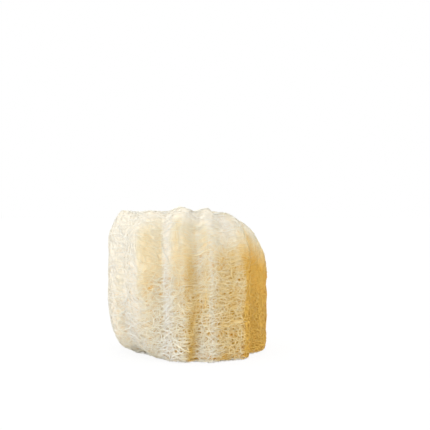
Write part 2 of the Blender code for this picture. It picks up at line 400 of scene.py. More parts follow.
def noise(block, points, spacing):
    """Random values on a cubic lattice of this spacing, eased from one to the next along each axis."""
    size = block.shape[0]
    cell = np.floor(points / spacing).astype(int)
    share = points / spacing - cell
    share = share * share * (3.0 - 2.0 * share)
    total = 0.0
    for corner in itertools.product((0, 1), repeat=3):
        weight = np.prod(np.where(np.array(corner) == 1, share, 1.0 - share), axis=-1)
        at = (cell + corner) % size
        total = total + weight[..., None] * block[at[..., 0], at[..., 1], at[..., 2]]
    return total[..., 0] if block.shape[-1] == 1 else total


SLOW_NOISE = lattice(11)
FINE_NOISE = lattice(12)
print("noise blocks:", SLOW_NOISE.shape[:3], FINE_NOISE.shape[:3])

# %% Painted shade by the way the wall faces
SHADED_SIDE = np.array([1.0, 0.12, -0.42])
FACING_STEPS = (-0.74, -0.67, -0.36, 0.08, 0.23, 0.37, 0.48, 0.57, 0.75)
STRAW_STEPS = (0.01, 0.25, 0.42, 0.33, 0.54, 0.47, 0.64, 0.98, 1.00)
GROOVE_REACH = int(WALL_COLUMNS * 17.0 / 360.0)
FULL_GROOVE = 5.0 * MM
SHALLOW_GROOVE = 0.15
GROOVE_STRAW = 0.22


def widest_near(values, near):
    """The largest value within so many columns to either side."""
    return np.stack([np.roll(values, shift, 1) for shift in range(-near, near + 1)]).max(axis=0)


wall_radius = np.hypot(wall[..., 0], wall[..., 1])
lobe_line = smoothed(widest_near(wall_radius, GROOVE_REACH), 30)
groove = np.clip((lobe_line - wall_radius) / FULL_GROOVE - SHALLOW_GROOVE, 0.0, 1.0)
soft_normals = smoothed(wall_chart["normals"], 8)
facing = soft_normals @ SHADED_SIDE
# Painted shade: the more the wall faces away from the lamp, the more gold it is painted; grooves get more.
straw = np.interp(facing, FACING_STEPS, STRAW_STEPS)
straw += groove * (GROOVE_STRAW * np.clip(facing + 0.5, 0.0, 1.0) - np.clip(-0.30 - facing, 0.0, 0.5))
side_grooves = (lobe_line - wall_radius)[:SIDE_ROWS]
print("deepest groove below the shoulder, mm:", round(float(side_grooves.max()) / MM, 1))

# %% Painted shade: shift each lobe, and paint the flank gold
LOBE_TABLE = (
    # degrees round the wall from the front, shift of the lower part, shift of the upper part
    (-110.0, 0.00, 0.00),
    (-80.0, -0.14, -0.10),
    (-60.0, -0.17, -0.13),
    (-46.0, -0.10, -0.05),
    (-35.0, -0.04, 0.06),
    (-22.0, -0.05, 0.02),
    (-14.0, -0.17, -0.03),
    (-9.0, -0.07, -0.02),
    (-2.0, 0.04, 0.07),
    (6.0, -0.04, -0.06),
    (11.0, 0.45, 0.05),
    (14.0, 0.40, -0.02),
    (19.0, -0.08, -0.11),
    (26.0, -0.05, -0.04),
    (35.0, 0.20, 0.09),
    (42.0, 0.16, 0.08),
)
LOW_LEVEL, HIGH_LEVEL = 30.0 * MM, 65.0 * MM
PATCH_SIZE, REAR_PATCH_SIZE, PATCH_SHARE = 9.0 * MM, 16.0 * MM, 0.06
REAR_PALENESS = 0.50
FLANK_EDGES, FLANK_SHARES = (43.0, 49.0, 76.0, 90.0), (0.0, 1.0, 1.0, 0.0)
FLANK_LEAN = 9.0
LEAN_FROM, LEAN_OVER = 70.0, 20.0

rear = np.clip((soft_normals[..., 1] + 0.40) / 0.80, 0.0, 1.0)
patchy = noise(SLOW_NOISE, wall, PATCH_SIZE)
patchy = patchy + 2.0 * rear * noise(SLOW_NOISE, wall + 0.3, REAR_PATCH_SIZE)
turn = np.degrees(np.arctan2(wall[..., 0], -wall[..., 1]))
high = np.clip((wall[..., 2] - LOW_LEVEL) / (HIGH_LEVEL - LOW_LEVEL), 0.0, 1.0)
lobe_turns, low_shifts, high_shifts = np.array(LOBE_TABLE).T
# Painted light and shade: each lobe of the front is painted paler or more golden, low and high.
straw += np.interp(turn, lobe_turns, low_shifts) * (1.0 - high)
straw += np.interp(turn, lobe_turns, high_shifts) * high
straw = np.clip(straw * (1.0 - REAR_PALENESS * rear) + PATCH_SHARE * patchy, 0.0, 1.0)
# Painted shade: the flank turned right away from the lamp is painted gold.
lean = FLANK_LEAN * high * np.clip((LEAN_FROM - turn) / LEAN_OVER, 0.0, 1.0)
flank = smoothed(np.interp(turn + lean, FLANK_EDGES, FLANK_SHARES), 2)
straw = np.maximum(straw, flank)
print("golden flank, share of the wall:", round(float((flank > 0.5).mean()), 2))

# %% Painted light: the shoulder and the foot paler
PALE_BAND, PALE_CURVE = 32.0 * MM, 0.7
WHITE_SLOPE, FLANK_WHITE_SLOPE = 0.54, 0.80
FOOT_BAND = 22.0 * MM
TOP_BLUR = 24

# Painted light: paler near the top and on slopes that face up, and paler low down at the foot.
below_top = np.clip((wall[..., 2].max(axis=0) - wall[..., 2]) / PALE_BAND, 0.0, 1.0) ** PALE_CURVE
pale_share = np.clip((facing + 0.30) / 0.50, 0.15, 1.0)
slope = smoothed(wall_chart["normals"][..., 2], 14)
flank_groove = groove * flank
straw *= 1.0 - pale_share * (1.0 - below_top) * (1.0 - 0.4 * flank_groove)
white_slope = WHITE_SLOPE + (FLANK_WHITE_SLOPE - WHITE_SLOPE) * flank
upturned = np.clip(slope / white_slope, 0.0, 1.0)
straw *= 1.0 - (1.0 - 0.30 * rear) * (1.0 - 0.55 * flank_groove) * upturned
foot_share = (1.0 - flank) * np.clip(0.45 - 0.90 * facing, 0.0, 1.0)
straw *= 1.0 - foot_share * np.exp(-wall[..., 2] / FOOT_BAND)
wall_chart["straw"] = smoothed(straw, TOP_BLUR, closed=False)
print("gold, share of the wall over a half:", round(float((wall_chart["straw"] > 0.5).mean()), 2))

# %% The maps over angle and height
MAP_ROWS = 120


def by_height(values):
    """The same values on a grid of angle and height: each column is read again at even heights."""
    levels = np.linspace(0.0, HEIGHT, MAP_ROWS)
    columns = [
        np.interp(levels, np.maximum.accumulate(wall[:, column, 2]), values[:, column])
        for column in range(WALL_COLUMNS)
    ]
    return np.stack(columns, axis=1)


def column_of(points):
    """The column of the wall's chart that stands at the same angle as each point."""
    return np.arctan2(points[..., 0], -points[..., 1]) / (2.0 * np.pi) * WALL_COLUMNS


def read_map(grid, points):
    """The value of an angle and height map at any point of the sponge."""
    return read_grid(grid, column_of(points), points[..., 2] / HEIGHT * (MAP_ROWS - 1))


STRAW_MAP = by_height(wall_chart["straw"])
RADIUS_MAP = by_height(wall_radius)
half_way = RADIUS_MAP[MAP_ROWS // 2]
print("wall at half height, mm from the middle:", np.round([half_way.min() / MM, half_way.max() / MM], 1))

# %% [markdown]
# ## Pores
#
# What tells luffa from cloth is its open pores, one to two millimetres wide, where the fibres part. Each
# pore is a small ball of space. A fibre that comes near one bends away from it, so every layer of fibres
# leaves the same hole, and the felt behind has a pit there. Holes could also be cut out of a finished
# mesh, but then cut fibre ends would stand round each one. The balls sit on a cubic lattice, each one
# moved at random within its own cell, so that no rows of them show.

# %% How open the net is
OPEN_PLACES = (
    # angle from the front and reach round the wall in radians, openness at the foot and its fall with
    # height, and weight: the lower front right, the lower front, the lower flank
    (0.50, 0.45, 1.30, 1.35, 0.75),
    (-0.24, 0.32, 1.25, 1.45, 0.34),
    (1.10, 0.25, 1.30, 1.20, 0.30),
)
CLOSE_LEFT, CLOSE_LEFT_REACH = -1.25, 0.50
LEAST_OPEN, LOW_WEIGHT, PATCH_WEIGHT = 0.04, 0.32, 0.40
OPEN_PATCH_SIZE = 17.0 * MM


def bell(turn, middle, reach):
    """A bell curve over the angle: e to minus the square of the way from its middle over its reach."""
    return np.exp(-(((turn - middle) / reach) ** 2))


def coarseness(points):
    """How open the net is, from 0 to 1: a sum of bell curves over the angle, each fading with the height.

    The net is also more open low down, except on the left, and slow noise adds patches.
    """
    turn = np.arctan2(points[..., 0], -points[..., 1])
    height = points[..., 2] / HEIGHT
    places = 0.0
    for middle, reach, foot, fall, weight in OPEN_PLACES:
        places = places + weight * (bell(turn, middle, reach) * np.clip(foot - fall * height, 0.0, 1.0))
    low = np.clip(1.15 - 1.60 * height, 0.0, 1.0) * (1.0 - 0.7 * bell(turn, CLOSE_LEFT, CLOSE_LEFT_REACH))
    patches = np.clip(0.5 + 0.9 * noise(SLOW_NOISE, points + 0.5, OPEN_PATCH_SIZE), 0.0, 1.0)
    places = places + LOW_WEIGHT * low
    return np.clip(LEAST_OPEN + places + PATCH_WEIGHT * patches * (0.15 + 0.85 * low), 0.0, 1.0)


wall_coarseness = coarseness(wall)
print("net more than half open, share of the wall:", round(float((wall_coarseness > 0.5).mean()), 2))

# %% The pore field
PORE_SPACING = 1.95 * MM
PORE_REACH = 0.66 * MM
FINE_PORE, COARSE_PORE = 0.08 * MM, 1.10 * MM
PORE_CURVE = 1.3
MEAN_PORE, PORE_SPREAD = 0.6, 0.6
NEAREST_PUSH = 0.15 * MM

PORE_PLACES = lattice(21, channels=3)
PORE_SIZES = lattice(22)


def pore_strength(points):
    """How far a full-sized pore pushes fibres aside."""
    return FINE_PORE + (COARSE_PORE - FINE_PORE) * coarseness(points) ** PORE_CURVE


def near_pores(points):
    """For each of the 27 cells round a point: the way from that cell's pore to it, and the pore's size."""
    cell = np.floor(points / PORE_SPACING).astype(int)
    for corner in itertools.product((-1, 0, 1), repeat=3):
        other = cell + corner
        at = other % PORE_PLACES.shape[0]
        centre = (other + 0.5 + 0.5 * PORE_PLACES[at[..., 0], at[..., 1], at[..., 2]]) * PORE_SPACING
        size = MEAN_PORE + PORE_SPREAD * PORE_SIZES[at[..., 0], at[..., 1], at[..., 2], 0]
        yield points - centre, size


def pore_openness(points):
    """How deep inside a pore a point is: each pore's size, falling off as a bell curve."""
    total = np.zeros(points.shape[:-1])
    for away, size in near_pores(points):
        total += size * np.exp(-0.5 * (np.linalg.norm(away, axis=-1) / PORE_REACH) ** 2)
    return total * pore_strength(points) / COARSE_PORE


def parted(points, normals):
    """The points moved along the surface, away from each pore, by its size times a bell curve."""
    strength = pore_strength(points)
    shift = np.zeros_like(points)
    for away, size in near_pores(points):
        weight = size * strength * np.exp(-0.5 * (np.linalg.norm(away, axis=-1) / PORE_REACH) ** 2)
        level = away - (away * normals).sum(-1, keepdims=True) * normals
        length = np.linalg.norm(level, axis=-1, keepdims=True)
        shift += weight[..., None] * level / np.maximum(length, NEAREST_PUSH)
    return points + shift


full_pore, fine_pore = float(pore_strength(wall).max()), float(pore_strength(wall).min())
print("pores push fibres aside by, mm:", round(fine_pore / MM, 2), "to", round(full_pore / MM, 2))

# %% [markdown]
# ## Fibres
#
# Fibres could be hair curves, but a mesh can be exported and printed as it is. So a fibre is a walk over
# a chart: each step goes a set distance along a heading that swings slowly from side to side. All fibres
# of a net take their next step together, as one array.


# %% Walk over a chart
SHORT_WAVE, LONG_WAVE = 9.0 * MM, 23.0 * MM
WAVE_SPREAD = (0.7, 1.4)
SWING_SHARES, SWING_SPREAD = (0.6, 1.0), (0.5, 1.3)


def folded(row, last):
    """A row number that runs past either end turns back."""
    return last - np.abs(last - np.abs(row))


def walk(chart, rng, start_row, start_column, heading, swing, step, count):
    """Each next point is one step along a heading that two slow waves swing; all fibres step at once."""
    fibres = len(heading)
    length = np.array([[SHORT_WAVE], [LONG_WAVE]]) * rng.uniform(*WAVE_SPREAD, (2, fibres))
    wave = 2.0 * np.pi / length
    phase = rng.uniform(0.0, 2.0 * np.pi, (2, fibres))
    shares = np.array(SWING_SHARES)[:, None]
    swing = math.radians(swing) * shares * rng.uniform(*SWING_SPREAD, (2, fibres))
    row, column = start_row.astype(float), start_column.astype(float)
    track = []
    for number in range(count):
        track.append(np.stack([row, column], axis=-1))
        turn = heading + (swing * np.sin(wave * number * step + phase)).sum(axis=0)
        across = step * np.cos(turn) / read_grid(chart["column_step"], column, row)
        up = step * np.sin(turn) / read_grid(chart["row_step"], column, row)
        row, column = folded(row + up, chart["points"].shape[0] - 1.01), column + across
    return np.stack(track, axis=1)


def scattered(chart, rng, count, allowed=None):
    """Starting rows and columns, each in its own equal share of the chart's area."""
    area = chart["area"] if allowed is None else chart["area"] * allowed
    running = np.cumsum(area.ravel())
    share = (np.arange(count) + rng.uniform(0.0, 1.0, count)) / count
    places = np.searchsorted(running, share * running[-1])
    row, column = np.divmod(places, area.shape[1])
    return row + rng.uniform(0.0, 1.0, count), column + rng.uniform(0.0, 1.0, count)


def laid_on(chart, track):
    """The points and normals of a chart along each walk."""
    row, column = track[..., 0], track[..., 1]
    points = read_grid(chart["points"], column, row, chart["closed"])
    normals = read_grid(chart["normals"], column, row, chart["closed"])
    return points, normals / np.linalg.norm(normals, axis=-1, keepdims=True)


# %% [markdown]
# The walk is then carried as a thin three-sided tube that narrows to a closed point at both ends. Three
# sides are enough, because a fibre is only about half a millimetre thick and its edges are shaded smooth.
# Each tube also stores three numbers for its material: how gold it is, how deep it lies, and a tint of
# its own.

# %% The faces of the tubes
SIDES = 3


def tube_faces(fibres, rings):
    """Four-sided faces between the rings of every tube, and three-sided ones that close its two ends."""
    size = rings * SIDES + 2
    ring = np.arange(rings - 1)[:, None] * SIDES
    side, beside = np.arange(SIDES), (np.arange(SIDES) + 1) % SIDES
    quads = np.stack([ring + side, ring + beside, ring + beside + SIDES, ring + side + SIDES], axis=-1)
    last = (rings - 1) * SIDES
    start = np.stack([np.full(SIDES, size - 2), beside, side], axis=-1)
    end = np.stack([np.full(SIDES, size - 1), last + side, last + beside], axis=-1)
    shift = (np.arange(fibres) * size)[:, None, None]
    quads = (quads.reshape(1, -1, 4) + shift).reshape(-1, 4)
    ends = (np.concatenate([start, end])[None] + shift).reshape(-1, 3)
    return quads, ends


print("faces of a fibre of 11 rings:", [len(faces) for faces in tube_faces(1, 11)])

# %% Carry a thin tube along each walk
TUBE_TURNS = np.radians([270.0, 30.0, 150.0])
TIP_WIDTH, TAPER_CURVE = 0.35, 5


def add_values(mesh, key, values):
    """One number for each point of a mesh, for its material to read."""
    layer = mesh.attributes.new(key, "FLOAT", "POINT")
    layer.data.foreach_set("value", values.astype(np.float32))


def tubes(name, points, normals, thickness, values):
    """A ring of three points round each path point, thickness times a taper away from it, and two poles.

    The ring lies across the path. Its side direction is the cross product of the path's own direction and
    the surface normal, and its up direction is the cross product of the side and the path. The taper is 1
    along the middle and falls to the tip's share at both ends, with the fifth power of the way there.
    """
    fibres, rings = points.shape[:2]
    ahead = np.gradient(points, axis=1)
    ahead /= np.maximum(np.linalg.norm(ahead, axis=-1, keepdims=True), 1e-9)
    side = np.cross(ahead, normals)
    side /= np.maximum(np.linalg.norm(side, axis=-1, keepdims=True), 1e-9)
    up = np.cross(side, ahead)
    along = np.linspace(-1.0, 1.0, rings)
    taper = TIP_WIDTH + (1.0 - TIP_WIDTH) * (1.0 - np.abs(along) ** TAPER_CURVE)
    width = (thickness[:, None] * taper)[..., None, None]
    ring = np.cos(TUBE_TURNS)[:, None] * side[:, :, None]
    ring = ring + np.sin(TUBE_TURNS)[:, None] * up[:, :, None]
    skin = points[:, :, None] + width * ring
    poles = np.stack(
        [
            points[:, 0] - ahead[:, 0] * thickness[:, None],
            points[:, -1] + ahead[:, -1] * thickness[:, None],
        ],
        axis=1,
    )
    everything = np.concatenate([skin.reshape(fibres, -1, 3), poles], axis=1)
    mesh = mesh_of(name, everything.reshape(-1, 3), *tube_faces(fibres, rings))
    for key, value in values.items():
        value = np.broadcast_to(value, (fibres, rings))
        full = np.concatenate([np.repeat(value, SIDES, axis=1), value[:, :1], value[:, -1:]], axis=1)
        add_values(mesh, key, full.ravel())
    mesh.shade_smooth()
    return link(name, mesh)


# %% Count and keep a piece
def triangles(piece):
    """How many triangles a piece has: a face with n corners is n minus 2 of them."""
    return len(piece.data.loops) - 2 * len(piece.data.polygons)


pieces = []


def keep(piece, material):
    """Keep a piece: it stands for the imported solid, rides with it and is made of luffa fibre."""
    piece.data.materials.append(material)
    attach(piece, "root")
    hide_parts("loofah_sponge")
    pieces.append(piece)
    print(piece.name, triangles(piece), "triangles")


# %% [markdown]
# ## Materials
#
# A luffa is cream on the outside and more golden inside, and light that gets deep into the net meets many
# fibres on its way and loses its blue, so its shade looks gold. Here that gold is mostly painted into the
# colour: the gold and shade value takes a fibre from cream to gold, depth takes it on to a deeper gold as
# painted shade in recesses, and each fibre has a tint of its own. It is a node group because the fibres
# and the felt both use it. The small functions below save writing out each node by hand.


# %% Node helpers
def new_group(name, inputs, outputs):
    """A shader node group with named number, colour or vector sockets."""
    tree = bpy.data.node_groups.new(name, "ShaderNodeTree")
    for socket, kind in inputs.items():
        tree.interface.new_socket(socket, in_out="INPUT", socket_type=f"NodeSocket{kind}")
    for socket, kind in outputs.items():
        tree.interface.new_socket(socket, in_out="OUTPUT", socket_type=f"NodeSocket{kind}")
    return tree, tree.nodes.new("NodeGroupInput"), tree.nodes.new("NodeGroupOutput")


def math_node(tree, operation, *values, clamp=False):
    """The result of one Math node: a value that is a number is set on its socket, any other is linked."""
    node = tree.nodes.new("ShaderNodeMath")
    node.operation = operation
    node.use_clamp = clamp
    for place, value in enumerate(values):
        if isinstance(value, (int, float)):
            node.inputs[place].default_value = value
        else:
            tree.links.new(value, node.inputs[place])
    return node.outputs[0]


def mix_colours(tree, share, first, second, blend="MIX"):
    """The first colour where the share is 0 and, where it is 1, the second blended over the first."""
    node = tree.nodes.new("ShaderNodeMix")
    node.data_type = "RGBA"
    node.blend_type = blend
    for socket, value in ((node.inputs[0], share), (node.inputs[6], first), (node.inputs[7], second)):
        if isinstance(value, bpy.types.NodeSocket):
            tree.links.new(value, socket)
        else:
            socket.default_value = value
    return node.outputs[2]


# %% The colour of luffa
# Cream is for lit slopes; the golds are partly the fibre's own tone and mostly painted shade.
CREAM = (0.934, 0.921, 0.850, 1.0)
PALE_STRAW = (0.896, 0.844, 0.668, 1.0)
STRAW = (0.875, 0.712, 0.385, 1.0)
GOLD = (0.850, 0.552, 0.128, 1.0)
# Painted shade: recesses are painted this deepest gold.
DEEP_GOLD = (0.880, 0.450, 0.055, 1.0)
TINT_STRAW, TINT_SHADE, MEAN_SHADE = 0.05, 0.035, 0.97
DEPTH_STRAW, DEPTH_GOLD = 0.35, 0.8

luffa_colour, given, result = new_group(
    "luffa colour", {"Straw": "Float", "Depth": "Float", "Tint": "Float"}, {"Color": "Color"}
)
ramp = luffa_colour.nodes.new("ShaderNodeValToRGB")
ramp.color_ramp.elements[0].color = CREAM
ramp.color_ramp.elements[1].color = GOLD
for place, colour in ((0.30, PALE_STRAW), (0.62, STRAW)):
    ramp.color_ramp.elements.new(place).color = colour
tint, depth = given.outputs["Tint"], given.outputs["Depth"]
own_straw = math_node(luffa_colour, "MULTIPLY_ADD", tint, TINT_STRAW, given.outputs["Straw"])
# Painted shade: the deeper a point lies, the more gold it is painted, up to the deepest gold.
deeper = math_node(luffa_colour, "MULTIPLY_ADD", depth, DEPTH_STRAW, own_straw, clamp=True)
luffa_colour.links.new(deeper, ramp.inputs[0])
depth_share = math_node(luffa_colour, "MULTIPLY", depth, DEPTH_GOLD, clamp=True)
darkened = mix_colours(luffa_colour, depth_share, ramp.outputs[0], DEEP_GOLD)
shade = math_node(luffa_colour, "MULTIPLY_ADD", tint, TINT_SHADE, MEAN_SHADE)
grey = luffa_colour.nodes.new("ShaderNodeCombineColor")
for socket in grey.inputs:
    luffa_colour.links.new(shade, socket)
tinted = mix_colours(luffa_colour, 1.0, darkened, grey.outputs[0], "MULTIPLY")
luffa_colour.links.new(tinted, result.inputs[0])
print("luffa colour reads:", [socket.name for socket in given.outputs if socket.name])

# %% [markdown]
# A dry fibre is dull and finely ridged, and fine noise gives it both. The felt is fibre too thin and too
# close to model, so a group of its own draws it: the edges between the cells of two Voronoi textures, one
# coarser and one finer, cross like threads, and a little noise makes them wander. The gaps between the
# threads are put out too, and get a little painted shade. Both groups put out the same three values, so
# that one material function can take either.

# %% The skin of a fibre
SKIN_OUTPUTS = {"Height": "Float", "Roughness": "Float", "Gap": "Float"}
SKIN_SCALE, SKIN_DETAIL = 2600.0, 3.0
SMOOTHEST, ROUGHNESS_SPREAD = 0.62, 0.25

fibre_skin, given, result = new_group("fibre skin", {"Vector": "Vector"}, SKIN_OUTPUTS)
skin_ridges = fibre_skin.nodes.new("ShaderNodeTexNoise")
skin_ridges.inputs["Scale"].default_value = SKIN_SCALE
skin_ridges.inputs["Detail"].default_value = SKIN_DETAIL
fibre_skin.links.new(given.outputs["Vector"], skin_ridges.inputs["Vector"])
fibre_skin.links.new(skin_ridges.outputs[0], result.inputs["Height"])
dullness = math_node(fibre_skin, "MULTIPLY_ADD", skin_ridges.outputs[0], ROUGHNESS_SPREAD, SMOOTHEST)
fibre_skin.links.new(dullness, result.inputs["Roughness"])
result.inputs["Gap"].default_value = 0.0

# %% The weave of the felt
WEAVE_SCALES = (820.0, 1400.0)
THREAD_WIDTH = 0.16
WANDER, WANDER_SCALE = 0.9 * MM, 420.0
FELT_ROUGHNESS = 0.8

felt_weave, given, result = new_group("felt weave", {"Vector": "Vector"}, SKIN_OUTPUTS)
wander = felt_weave.nodes.new("ShaderNodeTexNoise")
wander.inputs["Scale"].default_value = WANDER_SCALE
felt_weave.links.new(given.outputs["Vector"], wander.inputs["Vector"])
shift = felt_weave.nodes.new("ShaderNodeVectorMath")
shift.operation = "MULTIPLY_ADD"
shift.inputs[1].default_value = (WANDER, WANDER, WANDER)
felt_weave.links.new(wander.outputs["Color"], shift.inputs[0])
felt_weave.links.new(given.outputs["Vector"], shift.inputs[2])
threads = []
for scale in WEAVE_SCALES:
    cells = felt_weave.nodes.new("ShaderNodeTexVoronoi")
    cells.feature = "DISTANCE_TO_EDGE"
    cells.inputs["Scale"].default_value = scale
    felt_weave.links.new(shift.outputs[0], cells.inputs["Vector"])
    fall = math_node(felt_weave, "DIVIDE", cells.outputs["Distance"], THREAD_WIDTH, clamp=True)
    threads.append(math_node(felt_weave, "SUBTRACT", 1.0, fall, clamp=True))
raised = math_node(felt_weave, "MAXIMUM", threads[0], threads[1])
felt_weave.links.new(raised, result.inputs["Height"])
felt_weave.links.new(math_node(felt_weave, "SUBTRACT", 1.0, raised), result.inputs["Gap"])
result.inputs["Roughness"].default_value = FELT_ROUGHNESS

# %% The two materials
GAP_DEPTH = 0.16
SHINE = 0.12


def luffa_material(name, surface, upright_squeeze, bump_distance):
    """Dull plant fibre. The colour group reads the mesh's own values, the surface group gives the bump.

    The gaps that the surface group finds count as a little more depth, and so get a little painted shade.
    """
    material = bpy.data.materials.new(name)
    material.use_nodes = True
    tree = material.node_tree
    shader = tree.nodes["Principled BSDF"]
    shader.inputs["Specular IOR Level"].default_value = SHINE
    place = tree.nodes.new("ShaderNodeTexCoord")
    squeeze = tree.nodes.new("ShaderNodeMapping")
    squeeze.inputs["Scale"].default_value = (1.0, 1.0, upright_squeeze)
    skin = tree.nodes.new("ShaderNodeGroup")
    skin.node_tree = surface
    tree.links.new(place.outputs["Object"], squeeze.inputs["Vector"])
    tree.links.new(squeeze.outputs["Vector"], skin.inputs["Vector"])
    colour = tree.nodes.new("ShaderNodeGroup")
    colour.node_tree = luffa_colour
    stored = {}
    for key in ("Straw", "Depth", "Tint"):
        value = tree.nodes.new("ShaderNodeAttribute")
        value.attribute_name = key.lower()
        stored[key] = value.outputs["Fac"]
    stored["Depth"] = math_node(tree, "MULTIPLY_ADD", skin.outputs["Gap"], GAP_DEPTH, stored["Depth"])
    for key, value in stored.items():
        tree.links.new(value, colour.inputs[key])
    tree.links.new(colour.outputs["Color"], shader.inputs["Base Color"])
    bump = tree.nodes.new("ShaderNodeBump")
    bump.inputs["Distance"].default_value = bump_distance
    tree.links.new(skin.outputs["Height"], bump.inputs["Height"])
    tree.links.new(bump.outputs["Normal"], shader.inputs["Normal"])
    tree.links.new(skin.outputs["Roughness"], shader.inputs["Roughness"])
    return material


fibre_material = luffa_material(
    "bleached luffa fibre", fibre_skin, upright_squeeze=1.0, bump_distance=0.02 * MM
)
felt_material = luffa_material("felted luffa", felt_weave, upright_squeeze=1.7, bump_distance=0.07 * MM)
print("materials:", [fibre_material.name, felt_material.name])

# %% [markdown]
# ## The felted wall
#
# Behind the fibres that can be told apart, the net is so thick that it reads as felt. A displaced copy of
# the solid could stand for it, but the solid's triangles are too large and uneven for pits a millimetre
# wide. So the outer wall is a shell made from the wall's own chart. Its outer side is the chart, pulled in
# a little so that fibres can lie on it, and its inner side is the same chart again, deeper and with few
# rows. Joined top and bottom, the rows close on themselves like a ring. Each pore presses a pit into it,
# and low ridges run round it.

# %% The relief and values of the felt
CLOSE_FELT_DEPTH, OPEN_FELT_DEPTH = 0.43 * MM, 0.95 * MM
RIDGE_HEIGHT = 0.05 * MM
RIDGE_SHAPE, RIDGE_SPACING = np.array([0.30, 0.30, 1.0]), 1.5 * MM
LUMP_HEIGHT, LUMP_SPACING = 0.02 * MM, 3.5 * MM
INNER_EDGE = 6.0 * MM
INSIDE_STRAW = 0.50
INSIDE_PATCHES = 8.0 * MM


def felt_relief(points):
    """Ridges are noise squeezed upright, so they run long round the wall; lumps are even noise."""
    ridges = noise(FINE_NOISE, points * RIDGE_SHAPE, RIDGE_SPACING)
    lumps = noise(SLOW_NOISE, points, LUMP_SPACING)
    return ridges, RIDGE_HEIGHT * ridges + LUMP_HEIGHT * lumps


def felt_depth(points):
    """How far the felt lies behind the net: little where the net is close, more where it is open."""
    return CLOSE_FELT_DEPTH + (OPEN_FELT_DEPTH - CLOSE_FELT_DEPTH) * coarseness(points)


def add_felt_values(mesh, points, openness, ridges):
    """What the felt's material reads at each point. Deep inside, the gold is even.

    Outside, it is the wall's map of gold and painted shade, with more painted shade where the net is open,
    and the depth paints shade into the pits.
    """
    from_middle = np.hypot(points[:, 0], points[:, 1])
    inside = np.clip((read_map(RADIUS_MAP, points) - from_middle) / INNER_EDGE - 0.5, 0.0, 1.0)
    outer = read_map(STRAW_MAP, points) + 0.15 * coarseness(points)
    inner = INSIDE_STRAW + 0.15 * noise(SLOW_NOISE, points, INSIDE_PATCHES)
    add_values(mesh, "straw", np.clip(outer * (1.0 - inside) + inner * inside, 0.0, 1.0))
    # Painted shade: the felt is painted more gold the deeper it lies in a pit.
    add_values(mesh, "depth", np.clip(0.05 + 1.2 * openness**1.3, 0.0, 1.0))
    add_values(mesh, "tint", 0.6 * ridges)


ridges, relief = felt_relief(wall)
print("relief of the felt, mm:", np.round([relief.min() / MM, relief.max() / MM], 2))

# %% Make the felted wall
PIT_DEPTH = 1.3 * MM
SHELL_DEPTH = 4.5 * MM
CHANNEL_CLEARANCE, MOST_CLEARING = 0.8 * MM, 6.0 * MM
FOOT_CLEARANCE = 0.3 * MM
INNER_ROWS = 10

wall_normals = wall_chart["normals"]
openness = np.clip(pore_openness(wall - felt_depth(wall)[..., None] * wall_normals), 0.0, 1.0)
sunk = felt_depth(wall) + PIT_DEPTH * openness - relief
outer_side = wall - sunk[..., None] * wall_normals
inner_rows = np.linspace(WALL_ROWS - 4, 3, INNER_ROWS).round().astype(int)
inner_side = (wall - SHELL_DEPTH * smoothed(wall_normals, 8))[inner_rows]
outside, way = beside_channels(inner_side)
inner_side[..., :2] += np.clip(CHANNEL_CLEARANCE - outside, 0.0, MOST_CLEARING)[..., None] * way
shell = np.concatenate([outer_side, inner_side])
shell[..., 2] = np.maximum(shell[..., 2], FOOT_CLEARANCE)
shell_faces = grid_faces(len(shell) + 1, WALL_COLUMNS) % (len(shell) * WALL_COLUMNS)
wall_felt = link("wall_felt", mesh_of("wall_felt", shell.reshape(-1, 3), shell_faces))
deep = np.ones((INNER_ROWS, WALL_COLUMNS))
add_felt_values(
    wall_felt.data,
    np.concatenate([wall, wall[inner_rows]]).reshape(-1, 3),
    np.concatenate([openness, deep]).ravel(),
    np.concatenate([ridges, 0.0 * deep]).ravel(),
)
wall_felt.data.shade_smooth()
keep(wall_felt, felt_material)

# %% [markdown]
# ## The felted core
#
# What the wall goes round, the partitions and the middle, has no shape that two parameters describe, so
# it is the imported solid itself. The solid's triangles are merged at their corners, the voxel Remesh
# modifier gives it an even mesh, and it is then pulled in under the nets of the cuts and channels.

# %% Make the felted core
CORE_VOXEL = 1.75 * MM
CORE_DEPTH = 1.10 * MM
UNDER_WALL, UNDER_WALL_REACH = 1.6 * MM, 3.0 * MM

solid_copy = cad_sponge.data.copy()
felt_core = link("felt_core", solid_copy)
weld = felt_core.modifiers.new("join the loose triangles", "WELD")
weld.merge_threshold = 0.01 * MM
remesh = felt_core.modifiers.new("even mesh", "REMESH")
remesh.mode = "VOXEL"
remesh.voxel_size = CORE_VOXEL
even = bpy.data.meshes.new_from_object(felt_core.evaluated_get(bpy.context.evaluated_depsgraph_get()))
felt_core.modifiers.clear()
felt_core.data = even
bpy.data.meshes.remove(solid_copy)
even.name = "felt_core"
even.materials.clear()

skin_points, skin_normals = read_points(even), read_points(even, "normal")
from_middle = np.hypot(skin_points[:, 0], skin_points[:, 1])
past_wall = from_middle - read_map(RADIUS_MAP, skin_points)
near_wall = np.clip(past_wall / UNDER_WALL_REACH + 1.0, 0.0, 1.0)
core_openness = np.clip(pore_openness(skin_points - CORE_DEPTH * skin_normals), 0.0, 1.0)
ridges, relief = felt_relief(skin_points)
sunk = CORE_DEPTH + UNDER_WALL * near_wall + PIT_DEPTH * core_openness - relief
core_points = skin_points - sunk[:, None] * skin_normals
core_points[:, 2] = np.maximum(core_points[:, 2], FOOT_CLEARANCE)
even.vertices.foreach_set("co", core_points.astype(np.float32).ravel())
even.update()
add_felt_values(even, skin_points, core_openness, ridges)
even.shade_smooth()
keep(felt_core, felt_material)

